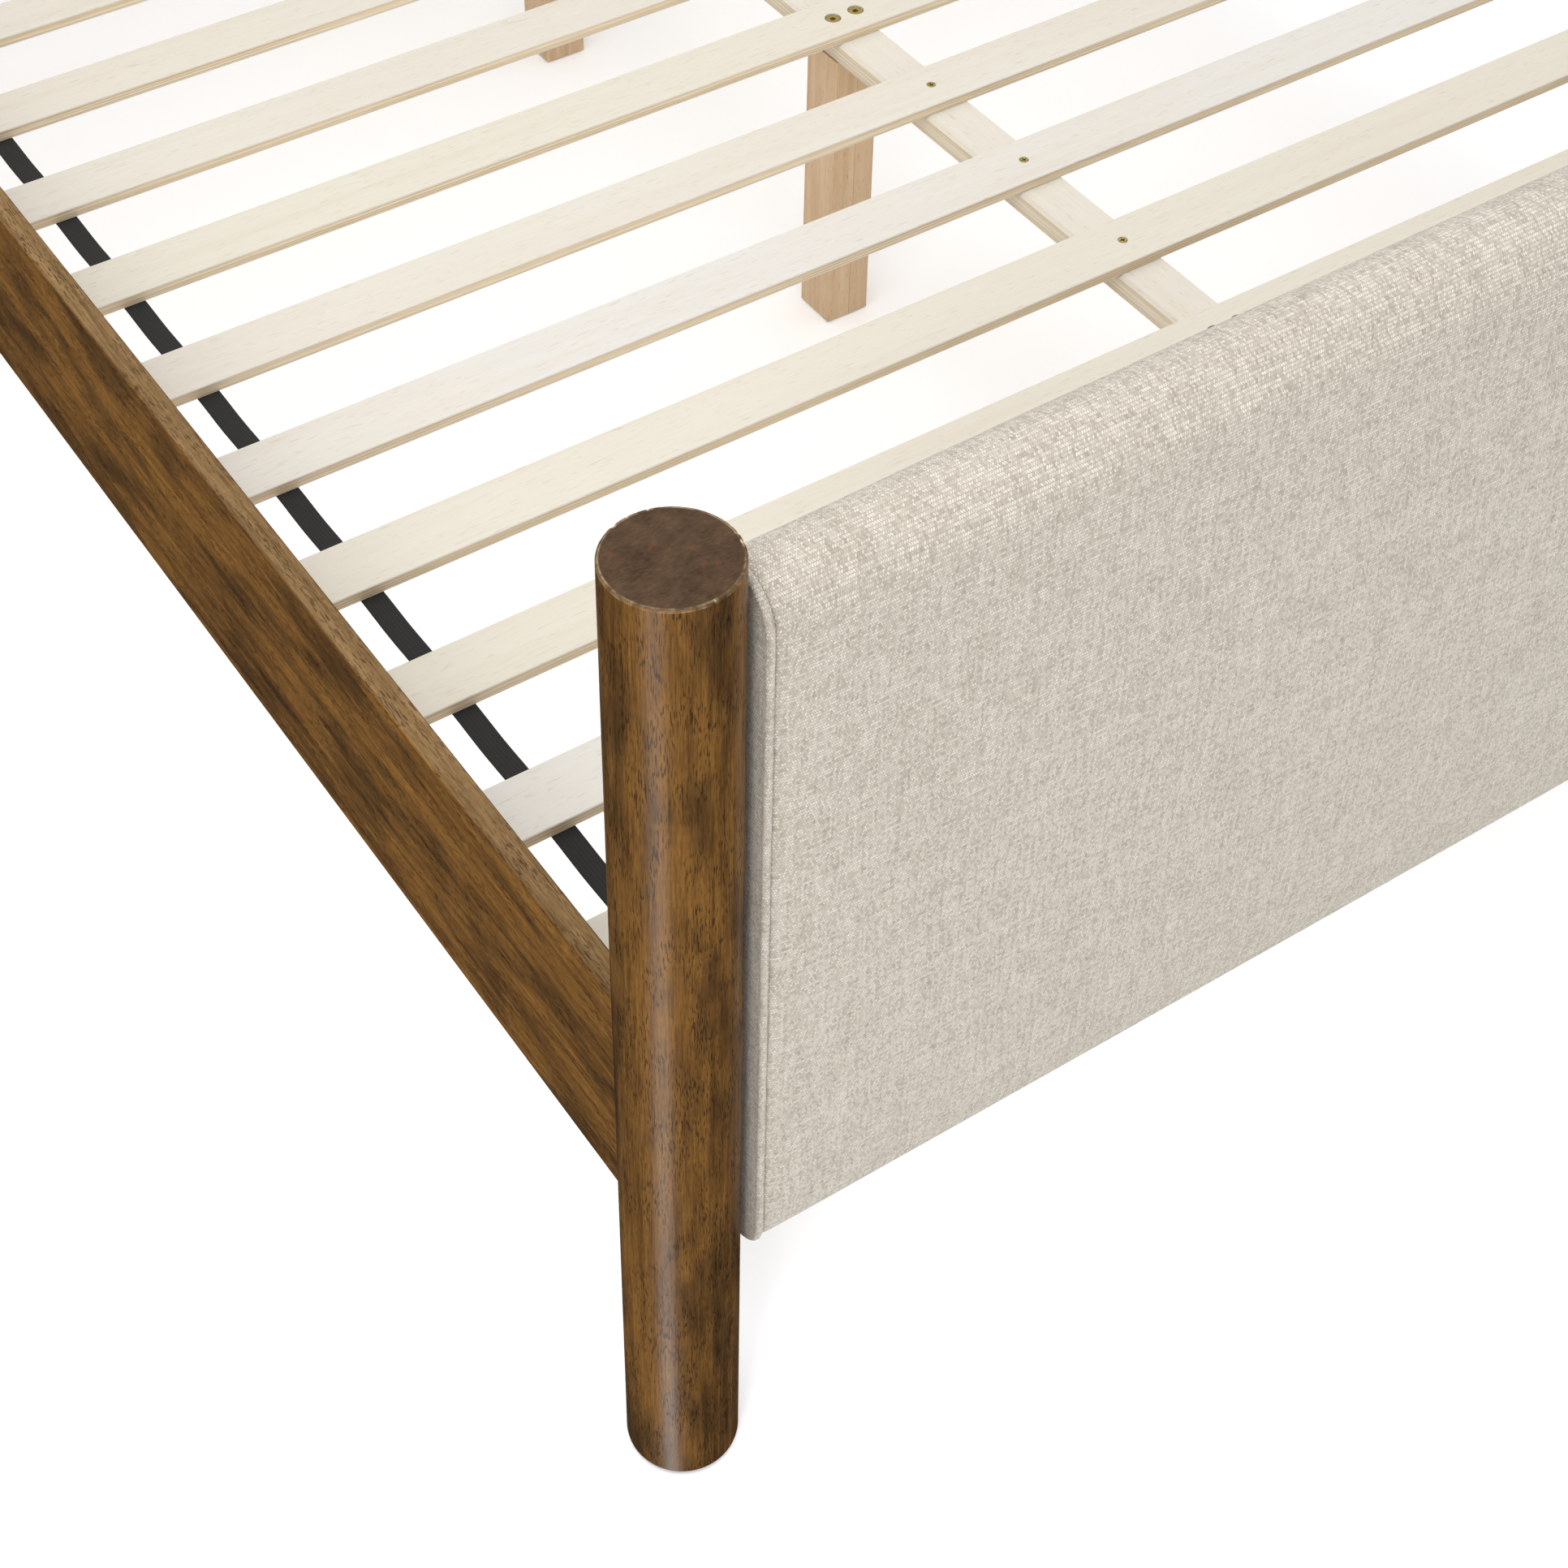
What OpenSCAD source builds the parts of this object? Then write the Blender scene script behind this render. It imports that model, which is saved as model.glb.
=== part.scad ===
// Platform bed with round posts, upholstered end panels and a strapped slat deck.
// Millimetres. +X runs across the bed, +Y from foot to head, +Z up.
// The origin is on the floor at the middle of the bed.

/* [Mattress] */
// Width of the mattress that the bed is made for
mattress_w = 1524; // [1200:1:1940]
// Length of the mattress that the bed is made for
mattress_l = 2032; // [1650:1:2500]
// Room between the mattress and each side rail
side_room = 8.5; // [4:0.5:20]
// Room between the mattress and each end panel
end_room = 10; // [4:0.5:25]

/* [Posts] */
// Diameter of the four round posts
post_d = 75; // [70:0.5:100]
// Height of the two foot posts above their glides
foot_post_h = 806; // [700:1:970]
// Height of the two head posts above their glides
head_post_h = 1198; // [1000:1:1440]
// Chamfer round the top of a post
post_top_ease = 1.2; // [0.4:0.1:4]
// Chamfer round the bottom of a post
post_foot_ease = 4; // [1:0.5:8]

/* [Side rails] */
// Thickness of a side rail
rail_t = 18; // [16:0.2:24]
// Height of a side rail
rail_h = 189; // [155:1:230]
// How far a rail stands above the slats
rail_rise = 75; // [40:1:95]
// Depth of the slot in a post that takes the end of a rail
rail_seat = 12; // [8:0.5:16]
// Chamfer along the edges of a rail
rail_ease = 1; // [0.4:0.1:2]
// Width of the ledger that the slats lie on
ledger_w = 28; // [22:0.5:34]
// Height of the ledger
ledger_h = 30; // [24:0.5:40]

/* [Slats] */
// Height of the top of the slats above the floor
slat_top = 332; // [290:1:400]
// Width of a slat
slat_w = 53; // [44:0.5:64]
// Thickness of a slat
slat_t = 10; // [8:0.2:14]
// Gap between the foot panel and the first slat
foot_slat_gap = 90.5; // [60:0.5:110]
// Gap between the last slat and the head panel
head_slat_gap = 46.5; // [38:0.5:80]
// Chamfer along the edges of a slat
slat_ease = 0.6; // [0.2:0.1:1.2]
// Width of the webbing that spaces the slats
strap_w = 18.5; // [15:0.5:30]
// Thickness of the webbing
strap_t = 1.6; // [1:0.1:2.5]
// Distance from a side rail to the webbing
strap_in = 52; // [44:0.5:80]

/* [Centre support] */
// Width of the centre beam
beam_w = 46; // [38:0.5:60]
// Height of the centre beam
beam_h = 22; // [18:0.5:28]
// Chamfer along the edges of the centre beam
beam_ease = 3; // [1:0.5:4]
// Side of a square centre leg
leg_w = 46; // [38:0.5:60]
// Distance between the two bolts of a centre leg
leg_bolt_pitch = 24.8; // [20:0.2:26]

/* [End panels] */
// Thickness of an end panel, over its upholstery
panel_t = 56; // [50:0.5:70]
// Height of the underside of the end panels
panel_low = 206; // [160:1:214]
// How far a panel's top lies below the tops of its posts
panel_drop = 27; // [10:1:60]
// Thickness of the fabric cover
cover_t = 1.5; // [1:0.1:2]
// Thickness of the fabric side band with its lining
band_t = 3; // [2:0.5:5]
// Thickness of the timber frame inside a panel
frame_t = 24; // [20:0.5:26]
// Thickness of the plywood on each face of the timber frame
ply_t = 4; // [3:0.5:5]
// Width of a frame stile, stud or top rail
stile_w = 60; // [50:1:80]
// Height of the frame's bottom rail, which carries the beam bracket
bottom_rail_h = 100; // [85:1:120]

/* [Hidden] */
$fn = 64;

SLATS = 15;
LEG_SLATS = [3, 7, 11];
FOOT = -1;
HEAD = 1;
LEFT = -1;
RIGHT = 1;
EPS = 0.01;

// Clearances
rail_fit = 0.5;
post_gap = 0.5;
soft_gap = 0.3;
slat_end_room = 2;
beam_end_room = 1.5;
hole_room = 0.25;

// Glides
glide_d = 30;
glide_t = 4.5;
glide_show = 2;

// Fastener sizes
rail_bolt_d = 6;
rail_bolt_bite = 45;
rail_bolt_inset = 45;
pocket_r = 12.5;
pocket_floor = 2.5;
pocket_in = 34;
washer_flat = 6.5;
nut_t = 5;
nut_flats = 10;
panel_bolt_d = 8;
panel_bolt_bite = 42;
panel_head_flats = 13;
panel_head_t = 5.5;
panel_bolt_clear = 14;
screw_d = 3.6;
screw_head_d = 8;
screw_head_t = 2.6;
recess_l = 4.6;
recess_w = 1;
recess_deep = 1.6;
slat_screw_l = 28;
ledger_screw_l = 40;
ledger_screw_end = 120;
ledger_screw_pitch = 290;
leg_bolt_d = 6;
leg_bolt_l = 65;
leg_head_d = 13;
leg_head_t = 4;
leg_counterbore_d = 15;
leg_socket_flats = 5;
leg_socket_deep = 2.5;
insert_d = 9;
insert_l = 15;
bracket_t = 3;
bracket_drop = 60;
bracket_reach = 50;
bracket_screw_x = 15;
bracket_screw_l = 38;
bracket_beam_screw_l = 18;
staple_wire = 1.2;
staple_crown = 10;
staple_leg = 7;

// Where everything lies
post_r = post_d / 2;
inner_x = mattress_w / 2 + side_room;
inner_y = mattress_l / 2 + end_room;
post_x = inner_x + rail_t / 2;
post_y = inner_y + panel_t / 2;
rail_z1 = slat_top + rail_rise;
rail_z0 = rail_z1 - rail_h;
rail_from_axis = post_r - rail_seat;
rail_l = 2 * (post_y - rail_from_axis - rail_fit);
rail_bolt_zs = [rail_z0 + rail_bolt_inset, rail_z1 - rail_bolt_inset];
slat_z0 = slat_top - slat_t;
slat_l = 2 * (inner_x - slat_end_room);
first_slat_y = -inner_y + foot_slat_gap + slat_w / 2;
last_slat_y = inner_y - head_slat_gap - slat_w / 2;
slat_pitch = (last_slat_y - first_slat_y) / (SLATS - 1);
strap_x = inner_x - strap_in - strap_w / 2;
strap_l = last_slat_y - first_slat_y + slat_w;
beam_z0 = slat_z0 - beam_h;
beam_l = 2 * (inner_y - bracket_t - beam_end_room);
leg_z1 = beam_z0;
ledger_l = 2 * (post_y - post_r - rail_fit);
ledger_screws_on_side = floor((ledger_l - 2 * ledger_screw_end) / ledger_screw_pitch) + 1;
panel_r = panel_t / 2;
panel_x = post_x - post_r - post_gap;
cover_x = panel_x - band_t;
frame_x = cover_x - soft_gap;
core_t = frame_t + 2 * ply_t;
foam_r = panel_r - cover_t - soft_gap;
// The frame stops where its corners keep at least 6 mm of foam over them.
foam_over_corner = 6;
frame_end_rise = sqrt(pow(foam_r - foam_over_corner, 2) - pow(core_t / 2, 2));
frame_z0 = panel_low + panel_r - frame_end_rise;

function slat_name(i) = str("slat_", i < 10 ? "0" : "", i);
function slat_y(i) = first_slat_y + (i - 1) * slat_pitch;
function has_leg(i) = len(search(i, LEG_SLATS)) > 0;
function post_h(end) = end == FOOT ? foot_post_h : head_post_h;
function panel_z1(end) = glide_show + post_h(end) - panel_drop;
function frame_z1(end) = panel_z1(end) - panel_r + frame_end_rise;
// Three bolts a side: just above the bottom rail, half way, and just below the top rail.
function panel_bolt_z(end, k) =
    let (low = frame_z0 + bottom_rail_h + panel_bolt_clear,
         high = frame_z1(end) - stile_w - panel_bolt_clear)
    low + (high - low) * k / 2;

// A board with all four long edges chamfered, its length along Y, centred on X and Y, standing on z = 0.
module board_y(w, l, h, ease) {
    rotate([90, 0, 0]) linear_extrude(height = l, center = true) eased_rectangle(w, h, ease);
}

// The same board with its length along X.
module board_x(l, w, h, ease) {
    rotate([0, 0, 90]) board_y(w, l, h, ease);
}

module eased_rectangle(w, h, ease) {
    polygon([
        [-w / 2 + ease, 0], [w / 2 - ease, 0], [w / 2, ease], [w / 2, h - ease],
        [w / 2 - ease, h], [-w / 2 + ease, h], [-w / 2, h - ease], [-w / 2, ease]
    ]);
}

// A long shape with half-round ends, upright in the YZ plane, extruded along X.
module upright_pill(x_len, r, z0, z1) {
    rotate([90, 0, 90]) linear_extrude(height = x_len, center = true) {
        translate([0, z0 + r]) circle(r);
        translate([0, z1 - r]) circle(r);
        translate([-r, z0 + r]) square([2 * r, z1 - z0 - 2 * r]);
    }
}

module block(x0, x1, y0, y1, z0, z1) {
    translate([x0, y0, z0]) cube([x1 - x0, y1 - y0, z1 - z0]);
}

// A countersunk screw along Z, its head flush with z = 0 and its point downwards.
module screw(length) {
    difference() {
        union() {
            rotate_extrude() polygon([
                [0, 0], [screw_head_d / 2, 0], [screw_head_d / 2, -0.4],
                [screw_d / 2, -screw_head_t], [0, -screw_head_t]
            ]);
            translate([0, 0, -length]) cylinder(h = length - screw_head_t + EPS, d = screw_d);
        }
        for (turn = [0, 90]) rotate([0, 0, turn])
            translate([-recess_l / 2, -recess_w / 2, -recess_deep]) cube([recess_l, recess_w, 2 * recess_deep]);
    }
}

// The hole that such a screw needs.
module screw_hole(length) {
    rotate_extrude() polygon([
        [0, 1], [screw_head_d / 2 + hole_room, 1], [screw_head_d / 2 + hole_room, -0.4 - hole_room],
        [screw_d / 2 + hole_room, -screw_head_t - hole_room], [screw_d / 2 + hole_room, -length - hole_room],
        [0, -length - hole_room]
    ]);
}

// ---- Posts ----

module post(end, side) {
    h = post_h(end);
    translate([side * post_x, end * post_y, glide_show]) difference() {
        rotate_extrude() polygon([
            [0, 0], [post_r - post_foot_ease, 0], [post_r - 0.3 * post_foot_ease, 0.3 * post_foot_ease],
            [post_r, post_foot_ease], [post_r, h - post_top_ease], [post_r - post_top_ease, h], [0, h]
        ]);
        rail_slot(end);
        for (z = rail_bolt_zs) translate([0, 0, z - glide_show]) rail_bolt_bore(end);
        for (k = [0:2]) translate([0, 0, panel_bolt_z(end, k) - glide_show]) panel_bolt_bore(side);
        translate([0, 0, -EPS]) cylinder(h = glide_t - glide_show + EPS, d = glide_d + 2 * hole_room);
    }
}

module rail_slot(end) {
    w = rail_t / 2 + rail_fit / 2;
    mirror([0, end == HEAD ? 0 : 1, 0])
        block(-w, w, -post_r - 1, -rail_from_axis,
              rail_z0 - rail_fit - glide_show, rail_z1 + rail_fit - glide_show);
}

module rail_bolt_bore(end) {
    mirror([0, end == HEAD ? 0 : 1, 0]) translate([0, -post_r, 0]) rotate([-90, 0, 0])
        cylinder(h = post_r - rail_from_axis + rail_bolt_bite + hole_room, d = rail_bolt_d + 2 * hole_room);
}

module panel_bolt_bore(side) {
    rotate([0, side * 90, 0]) translate([0, 0, -post_r - 1])
        cylinder(h = 1 + panel_bolt_bite + hole_room, d = panel_bolt_d + 2 * hole_room);
}

module foot_post_left() { color("#6b4423") post(FOOT, LEFT); }
module foot_post_right() { color("#6b4423") post(FOOT, RIGHT); }
module head_post_left() { color("#6b4423") post(HEAD, LEFT); }
module head_post_right() { color("#6b4423") post(HEAD, RIGHT); }

// ---- Side rails and ledgers ----

module side_rail(side) {
    difference() {
        translate([side * post_x, 0, rail_z0]) board_y(rail_t, rail_l, rail_h, rail_ease);
        for (end = [FOOT, HEAD], z = rail_bolt_zs) {
            translate([side * (inner_x - EPS), pocket_y(end), z]) rotate([0, side * 90, 0])
                cylinder(h = rail_t - pocket_floor + EPS, r = pocket_r);
            translate([side * post_x, pocket_y(end), z]) rotate([end * -90, 0, 0])
                cylinder(h = pocket_in + 1, d = rail_bolt_d + 2 * hole_room);
        }
        for (k = [0:ledger_screws_on_side - 1]) at_ledger_screw(side, k) screw_hole(ledger_screw_l);
    }
}

function pocket_y(end) = end * (rail_l / 2 - pocket_in);

module ledger(side) {
    difference() {
        translate([side * (inner_x - ledger_w / 2), 0, slat_z0 - ledger_h])
            board_y(ledger_w, ledger_l, ledger_h, rail_ease);
        for (k = [0:ledger_screws_on_side - 1]) at_ledger_screw(side, k) screw_hole(ledger_screw_l);
    }
}

module at_ledger_screw(side, k) {
    spread = ledger_l - 2 * ledger_screw_end;
    translate([side * (inner_x - ledger_w),
               -spread / 2 + k * spread / (ledger_screws_on_side - 1), slat_z0 - ledger_h / 2])
        rotate([0, side * -90, 0]) children();
}

module ledger_screws() {
    color("#b59a58") for (side = [LEFT, RIGHT], k = [0:ledger_screws_on_side - 1])
        at_ledger_screw(side, k) screw(ledger_screw_l);
}

// The stud that joins a rail to its post, its half-moon washer and its nut.
module at_rail_bolt(side, end, z) {
    translate([side * post_x, pocket_y(end), z]) rotate([0, 0, end == HEAD ? 0 : 180]) children();
}

module rail_bolts() {
    color("silver") for (side = [LEFT, RIGHT], end = [FOOT, HEAD], z = rail_bolt_zs) at_rail_bolt(side, end, z)
        rotate([-90, 0, 0]) cylinder(h = pocket_in + rail_fit + rail_bolt_bite, d = rail_bolt_d);
}

module rail_washers() {
    reach = pocket_r - hole_room;
    w = rail_t / 2 - pocket_floor - hole_room;
    color("silver") for (side = [LEFT, RIGHT], end = [FOOT, HEAD], z = rail_bolt_zs) at_rail_bolt(side, end, z)
        difference() {
            intersection() {
                rotate([0, 90, 0]) cylinder(h = 2 * w, r = reach, center = true);
                block(-w, w, washer_flat, pocket_r, -pocket_r, pocket_r);
            }
            rotate([-90, 0, 0]) cylinder(h = pocket_r + 1, d = rail_bolt_d + 2 * hole_room);
        }
}

module rail_nuts() {
    color("silver") for (side = [LEFT, RIGHT], end = [FOOT, HEAD], z = rail_bolt_zs) at_rail_bolt(side, end, z)
        translate([0, washer_flat - nut_t, 0]) rotate([-90, 30, 0]) difference() {
            cylinder(h = nut_t, d = nut_flats / cos(30), $fn = 6);
            translate([0, 0, -1]) cylinder(h = nut_t + 2, d = rail_bolt_d + EPS);
        }
}

module side_rail_left() { color("#6b4423") side_rail(LEFT); }
module side_rail_right() { color("#6b4423") side_rail(RIGHT); }
module ledger_left() { color("#c9a878") ledger(LEFT); }
module ledger_right() { color("#c9a878") ledger(RIGHT); }

// ---- Slat deck ----

module slat(i) {
    color("#efe4cc") difference() {
        translate([0, slat_y(i), slat_z0]) board_x(slat_l, slat_w, slat_t, slat_ease);
        if (has_leg(i)) at_leg_bolts(i) leg_bolt_hole();
        else translate([0, slat_y(i), slat_top]) screw_hole(slat_screw_l);
        for (side = [LEFT, RIGHT]) at_staple(side, i) staple_legs(hole_room);
    }
}

module slat_screws() {
    color("#b59a58") for (i = [1:SLATS]) if (!has_leg(i))
        translate([0, slat_y(i), slat_top]) screw(slat_screw_l);
}

module strap(side) {
    color("#1b1b1c") difference() {
        translate([side * strap_x, (first_slat_y + last_slat_y) / 2, slat_z0 - strap_t / 2])
            cube([strap_w, strap_l, strap_t], center = true);
        for (i = [1:SLATS]) at_staple(side, i) staple_legs(hole_room);
    }
}

module at_staple(side, i) {
    translate([side * strap_x, slat_y(i), slat_z0 - strap_t]) children();
}

module staple_legs(room) {
    for (x = [-1, 1])
        translate([x * (staple_crown - staple_wire) / 2, 0, (staple_leg + strap_t + room) / 2 - EPS])
            cube([staple_wire + 2 * room, staple_wire + 2 * room, staple_leg + strap_t + room], center = true);
}

module strap_staples() {
    color("silver") for (side = [LEFT, RIGHT], i = [1:SLATS]) at_staple(side, i) {
        translate([0, 0, -staple_wire / 2]) cube([staple_crown, staple_wire, staple_wire], center = true);
        intersection() {
            staple_legs(0);
            block(-staple_crown, staple_crown, -staple_crown, staple_crown, -staple_wire, staple_leg);
        }
    }
}

module strap_left() { strap(LEFT); }
module strap_right() { strap(RIGHT); }

// ---- Centre support ----

module centre_beam() {
    color("#ecdfc4") difference() {
        translate([0, 0, beam_z0]) board_y(beam_w, beam_l, beam_h, beam_ease);
        for (i = [1:SLATS])
            if (has_leg(i)) at_leg_bolts(i) leg_bolt_hole();
            else translate([0, slat_y(i), slat_top]) screw_hole(slat_screw_l);
        for (end = [FOOT, HEAD]) at_bracket(end) bracket_screw_places() screw_hole(bracket_beam_screw_l);
    }
}

module centre_leg(k) {
    color("#d9b48a") difference() {
        translate([0, slat_y(LEG_SLATS[k]), glide_show]) board_up(leg_w, leg_z1 - glide_show, slat_ease);
        at_leg_bolts(LEG_SLATS[k]) leg_bolt_hole();
        at_leg_bolts(LEG_SLATS[k]) translate([0, 0, leg_z1 - slat_top - insert_l])
            cylinder(h = insert_l + 1, d = insert_d);
        translate([0, slat_y(LEG_SLATS[k]), glide_show - EPS])
            cylinder(h = glide_t - glide_show + EPS, d = glide_d + 2 * hole_room);
    }
}

// A square post with its four upright edges chamfered, standing on z = 0.
module board_up(w, h, ease) {
    linear_extrude(height = h) translate([0, -w / 2]) eased_rectangle(w, w, ease);
}

module at_leg_bolts(i) {
    for (x = [-1, 1]) translate([x * leg_bolt_pitch / 2, slat_y(i), slat_top]) children();
}

module leg_bolt_hole() {
    translate([0, 0, -leg_head_t - 1]) cylinder(h = leg_head_t + 2, d = leg_counterbore_d);
    translate([0, 0, -leg_bolt_l - 2]) cylinder(h = leg_bolt_l + 2, d = leg_bolt_d + 2 * hole_room);
}

module leg_bolts() {
    color("#8d7b4f") for (i = LEG_SLATS) at_leg_bolts(i) translate([0, 0, -1]) difference() {
        union() {
            translate([0, 0, -leg_head_t]) cylinder(h = leg_head_t, d = leg_head_d);
            translate([0, 0, -leg_bolt_l]) cylinder(h = leg_bolt_l, d = leg_bolt_d);
        }
        translate([0, 0, -leg_socket_deep])
            cylinder(h = leg_socket_deep + 1, d = leg_socket_flats / cos(30), $fn = 6);
    }
}

module leg_inserts() {
    color("#b59a58") for (i = LEG_SLATS) at_leg_bolts(i)
        translate([0, 0, leg_z1 - slat_top - insert_l]) difference() {
            cylinder(h = insert_l, d = insert_d);
            translate([0, 0, -1]) cylinder(h = insert_l + 2, d = leg_bolt_d + EPS);
        }
}

// Brackets: each hangs the beam's end on the bottom rail of an end panel.
module at_bracket(end) {
    translate([0, end * inner_y, beam_z0]) rotate([0, 0, end == FOOT ? 0 : 180]) children();
}

// Two screws up into the beam.
module bracket_screw_places() {
    for (x = [-1, 1]) translate([x * bracket_screw_x, bracket_reach * 0.65, -bracket_t])
        rotate([180, 0, 0]) children();
}

// Two screws through the cover, foam and plywood into the bottom rail.
module panel_screw_places() {
    for (x = [-1, 1]) translate([x * bracket_screw_x, bracket_t, -bracket_drop / 2])
        rotate([-90, 0, 0]) children();
}

module beam_bracket(end) {
    color("#2b2b2d") at_bracket(end) difference() {
        union() {
            block(-beam_w / 2, beam_w / 2, 0, bracket_t, -bracket_drop, 0);
            block(-beam_w / 2, beam_w / 2, 0, bracket_reach, -bracket_t, 0);
        }
        bracket_screw_places() screw_hole(bracket_beam_screw_l);
        panel_screw_places() screw_hole(bracket_screw_l);
    }
}

module bracket_screws() {
    color("#b59a58") for (end = [FOOT, HEAD]) at_bracket(end) {
        bracket_screw_places() screw(bracket_beam_screw_l);
        panel_screw_places() screw(bracket_screw_l);
    }
}

module centre_leg_1() { centre_leg(0); }
module centre_leg_2() { centre_leg(1); }
module centre_leg_3() { centre_leg(2); }
module foot_beam_bracket() { beam_bracket(FOOT); }
module head_beam_bracket() { beam_bracket(HEAD); }

// ---- End panels: timber frame, plywood, foam, fabric ----

module at_panel(end) {
    translate([0, end * post_y, 0]) children();
}

module stile(end, side) {
    color("#c9a878") difference() {
        at_panel(end) mirror([side == LEFT ? 1 : 0, 0, 0])
            block(frame_x - stile_w, frame_x, -frame_t / 2, frame_t / 2, frame_z0, frame_z1(end));
        panel_bolt_places(end, side) panel_bolt_hole();
    }
}

module panel_bolt_places(end, side) {
    for (k = [0:2]) translate([side * (frame_x - stile_w), end * post_y, panel_bolt_z(end, k)])
        rotate([0, side * 90, 0]) children();
}

module panel_bolt_hole() {
    translate([0, 0, -1]) cylinder(h = stile_w + band_t + post_gap + 3, d = panel_bolt_d + 2 * hole_room);
}

module panel_bolts() {
    length = stile_w + soft_gap + band_t + post_gap + panel_bolt_bite;
    color("silver") for (end = [FOOT, HEAD], side = [LEFT, RIGHT]) panel_bolt_places(end, side) {
        cylinder(h = length, d = panel_bolt_d);
        translate([0, 0, -panel_head_t]) cylinder(h = panel_head_t, d = panel_head_flats / cos(30), $fn = 6);
    }
}

module frame_bar(end, x_half, z0, z1) {
    color("#c9a878") at_panel(end) block(-x_half, x_half, -frame_t / 2, frame_t / 2, z0, z1);
}

module top_rail(end) { frame_bar(end, frame_x - stile_w, frame_z1(end) - stile_w, frame_z1(end)); }

module bottom_rail(end) {
    difference() {
        frame_bar(end, frame_x - stile_w, frame_z0, frame_z0 + bottom_rail_h);
        at_bracket(end) panel_screw_places() screw_hole(bracket_screw_l);
    }
}

module stud(end) { frame_bar(end, stile_w / 2, frame_z0 + bottom_rail_h, frame_z1(end) - stile_w); }

module plywood(end) {
    color("#d8bd92") difference() {
        at_panel(end) for (face = [-1, 1]) mirror([0, face == 1 ? 0 : 1, 0])
            block(-frame_x, frame_x, frame_t / 2, core_t / 2, frame_z0, frame_z1(end));
        at_bracket(end) panel_screw_places() screw_hole(bracket_screw_l);
    }
}

module foam(end) {
    core = core_t / 2 + soft_gap;
    color("#f2efe2") difference() {
        at_panel(end) difference() {
            upright_pill(2 * (cover_x - soft_gap), foam_r, panel_low + cover_t + soft_gap,
                         panel_z1(end) - cover_t - soft_gap);
            block(-panel_x, panel_x, -core, core, frame_z0 - soft_gap, frame_z1(end) + soft_gap);
        }
        at_bracket(end) panel_screw_places() screw_hole(bracket_screw_l);
    }
}

module cover(end) {
    color("#d9d2c5") difference() {
        at_panel(end) difference() {
            upright_pill(2 * (cover_x - soft_gap), panel_r, panel_low, panel_z1(end));
            upright_pill(2 * panel_x, panel_r - cover_t, panel_low + cover_t, panel_z1(end) - cover_t);
        }
        at_bracket(end) panel_screw_places() screw_hole(bracket_screw_l);
    }
}

module side_bands(end) {
    color("#d9d2c5") for (side = [LEFT, RIGHT]) difference() {
        translate([side * (panel_x - band_t / 2), end * post_y, 0])
            upright_pill(band_t, panel_r, panel_low, panel_z1(end));
        panel_bolt_places(end, side) panel_bolt_hole();
    }
}

module foot_stile_left() { stile(FOOT, LEFT); }
module foot_stile_right() { stile(FOOT, RIGHT); }
module foot_top_rail() { top_rail(FOOT); }
module foot_bottom_rail() { bottom_rail(FOOT); }
module foot_stud() { stud(FOOT); }
module foot_plywood() { plywood(FOOT); }
module foot_foam() { foam(FOOT); }
module foot_cover() { cover(FOOT); }
module foot_side_bands() { side_bands(FOOT); }
module head_stile_left() { stile(HEAD, LEFT); }
module head_stile_right() { stile(HEAD, RIGHT); }
module head_top_rail() { top_rail(HEAD); }
module head_bottom_rail() { bottom_rail(HEAD); }
module head_stud() { stud(HEAD); }
module head_plywood() { plywood(HEAD); }
module head_foam() { foam(HEAD); }
module head_cover() { cover(HEAD); }
module head_side_bands() { side_bands(HEAD); }

// ---- Glides under the posts and legs ----

module floor_glides() {
    color("#3a3632") {
        for (end = [FOOT, HEAD], side = [LEFT, RIGHT]) translate([side * post_x, end * post_y, 0])
            cylinder(h = glide_t, d = glide_d);
        for (i = LEG_SLATS) translate([0, slat_y(i), 0]) cylinder(h = glide_t, d = glide_d);
    }
}

foot_post_left();
foot_post_right();
head_post_left();
head_post_right();
side_rail_left();
side_rail_right();
ledger_left();
ledger_right();
for (i = [1:SLATS]) slat(i);
strap_left();
strap_right();
strap_staples();
slat_screws();
centre_beam();
centre_leg_1();
centre_leg_2();
centre_leg_3();
leg_bolts();
leg_inserts();
foot_beam_bracket();
head_beam_bracket();
bracket_screws();
foot_stile_left();
foot_stile_right();
foot_top_rail();
foot_bottom_rail();
foot_stud();
foot_plywood();
foot_foam();
foot_cover();
foot_side_bands();
head_stile_left();
head_stile_right();
head_top_rail();
head_bottom_rail();
head_stud();
head_plywood();
head_foam();
head_cover();
head_side_bands();
panel_bolts();
rail_bolts();
rail_washers();
rail_nuts();
ledger_screws();
floor_glides();
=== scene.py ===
import math

import bmesh
import bpy
import numpy as np
from mathutils import Matrix, Vector


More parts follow.
